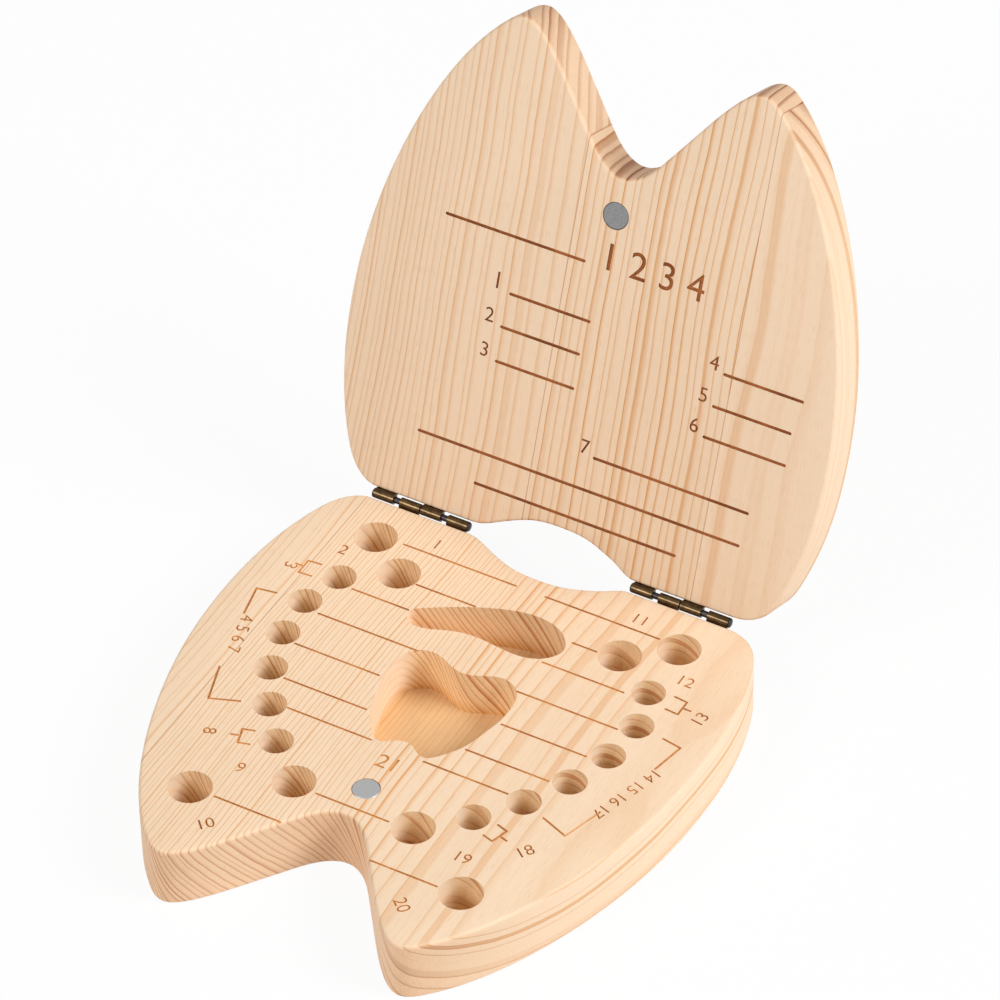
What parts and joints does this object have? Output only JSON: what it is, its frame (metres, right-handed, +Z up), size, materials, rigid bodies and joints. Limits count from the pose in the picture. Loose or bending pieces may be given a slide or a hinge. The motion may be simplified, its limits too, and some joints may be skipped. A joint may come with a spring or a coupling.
{
  "type": "keepsake box",
  "caption": "Hinged wooden keepsake box in the outline of a molar, with drilled sockets for milk teeth, recesses for hair and cord, and a magnet closure.",
  "frame": {"origin": "middle of the underside of the base, on the surface that the box stands on", "axes": "+Z up, +X to the right along the hinge line, +Y towards the hinges; the roots of the tooth point to -Y"},
  "size_m": [0.115, 0.1658, 0.1217],
  "materials": {
    "pine_base": "sanded pine, fine grain along Y",
    "pine_lid": "sanded pine, fine grain along Y",
    "magnet": "satin nickel",
    "hinge_brass": "antique brass plate",
    "hinge_pin_steel": "dark steel",
    "screw_brass": "antique brass plate"
  },
  "bodies": {
    "base": {"base_board": "pine_base", "base_magnet": "magnet", "left_hinge_base_leaf": "hinge_brass", "right_hinge_base_leaf": "hinge_brass", "left_hinge_pin": "hinge_pin_steel", "right_hinge_pin": "hinge_pin_steel", "left_base_screw_1": "screw_brass", "left_base_screw_2": "screw_brass", "right_base_screw_1": "screw_brass", "right_base_screw_2": "screw_brass"},
    "lid": {"lid_board": "pine_lid", "lid_magnet": "magnet", "left_hinge_lid_leaf": "hinge_brass", "right_hinge_lid_leaf": "hinge_brass", "left_lid_screw_1": "screw_brass", "left_lid_screw_2": "screw_brass", "right_lid_screw_1": "screw_brass", "right_lid_screw_2": "screw_brass"}
  },
  "joints": [
    {"name": "lid_hinge", "type": "hinge", "parent": "base", "child": "lid", "pos_m": [0, 0.058, 0.01485], "axis": [-1, 0, 0], "range_deg": [-111, 69]}
  ]
}
